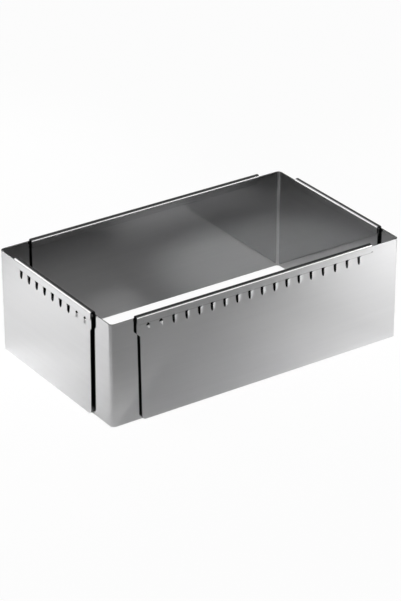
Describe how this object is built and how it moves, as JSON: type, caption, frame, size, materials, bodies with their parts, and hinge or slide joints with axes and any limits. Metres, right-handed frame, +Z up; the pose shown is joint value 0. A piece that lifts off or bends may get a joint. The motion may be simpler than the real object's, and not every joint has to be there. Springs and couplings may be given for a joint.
{
  "type": "adjustable cake frame",
  "caption": "Bottomless rectangular steel cake frame of sliding corner sheets under channel rails, with lanced click slots that set its length and width.",
  "frame": {"origin": "middle of the frame's plan, on the plane that its bottom edges stand on", "axes": "+X along the long sides, +Y along the short sides away from the viewer, +Z up to the rails"},
  "size_m": [0.2354, 0.141, 0.0768],
  "materials": {
    "sheet_steel": "satin",
    "rail_steel": "satin"
  },
  "bodies": {
    "front_inner": {"inner_corner_front": "sheet_steel"},
    "right_outer": {"outer_corner_right": "sheet_steel", "rail_front": "rail_steel", "rail_right": "rail_steel"},
    "left_outer": {"outer_corner_left": "sheet_steel", "rail_back": "rail_steel", "rail_left": "rail_steel"},
    "back_inner": {"inner_corner_back": "sheet_steel"}
  },
  "joints": [
    {"name": "length_slide", "type": "slide", "parent": "front_inner", "child": "right_outer", "axis": [1, 0, 0], "range_m": [0, 0.15]},
    {"name": "width_slide", "type": "slide", "parent": "front_inner", "child": "left_outer", "axis": [0, 1, 0], "range_m": [0, 0.06]},
    {"name": "back_width_slide", "type": "slide", "parent": "right_outer", "child": "back_inner", "axis": [0, 1, 0], "range_m": [0, 0.06]}
  ],
  "couplings": [
    {"joint": "back_width_slide", "follows": "width_slide", "ratio": 1}
  ]
}
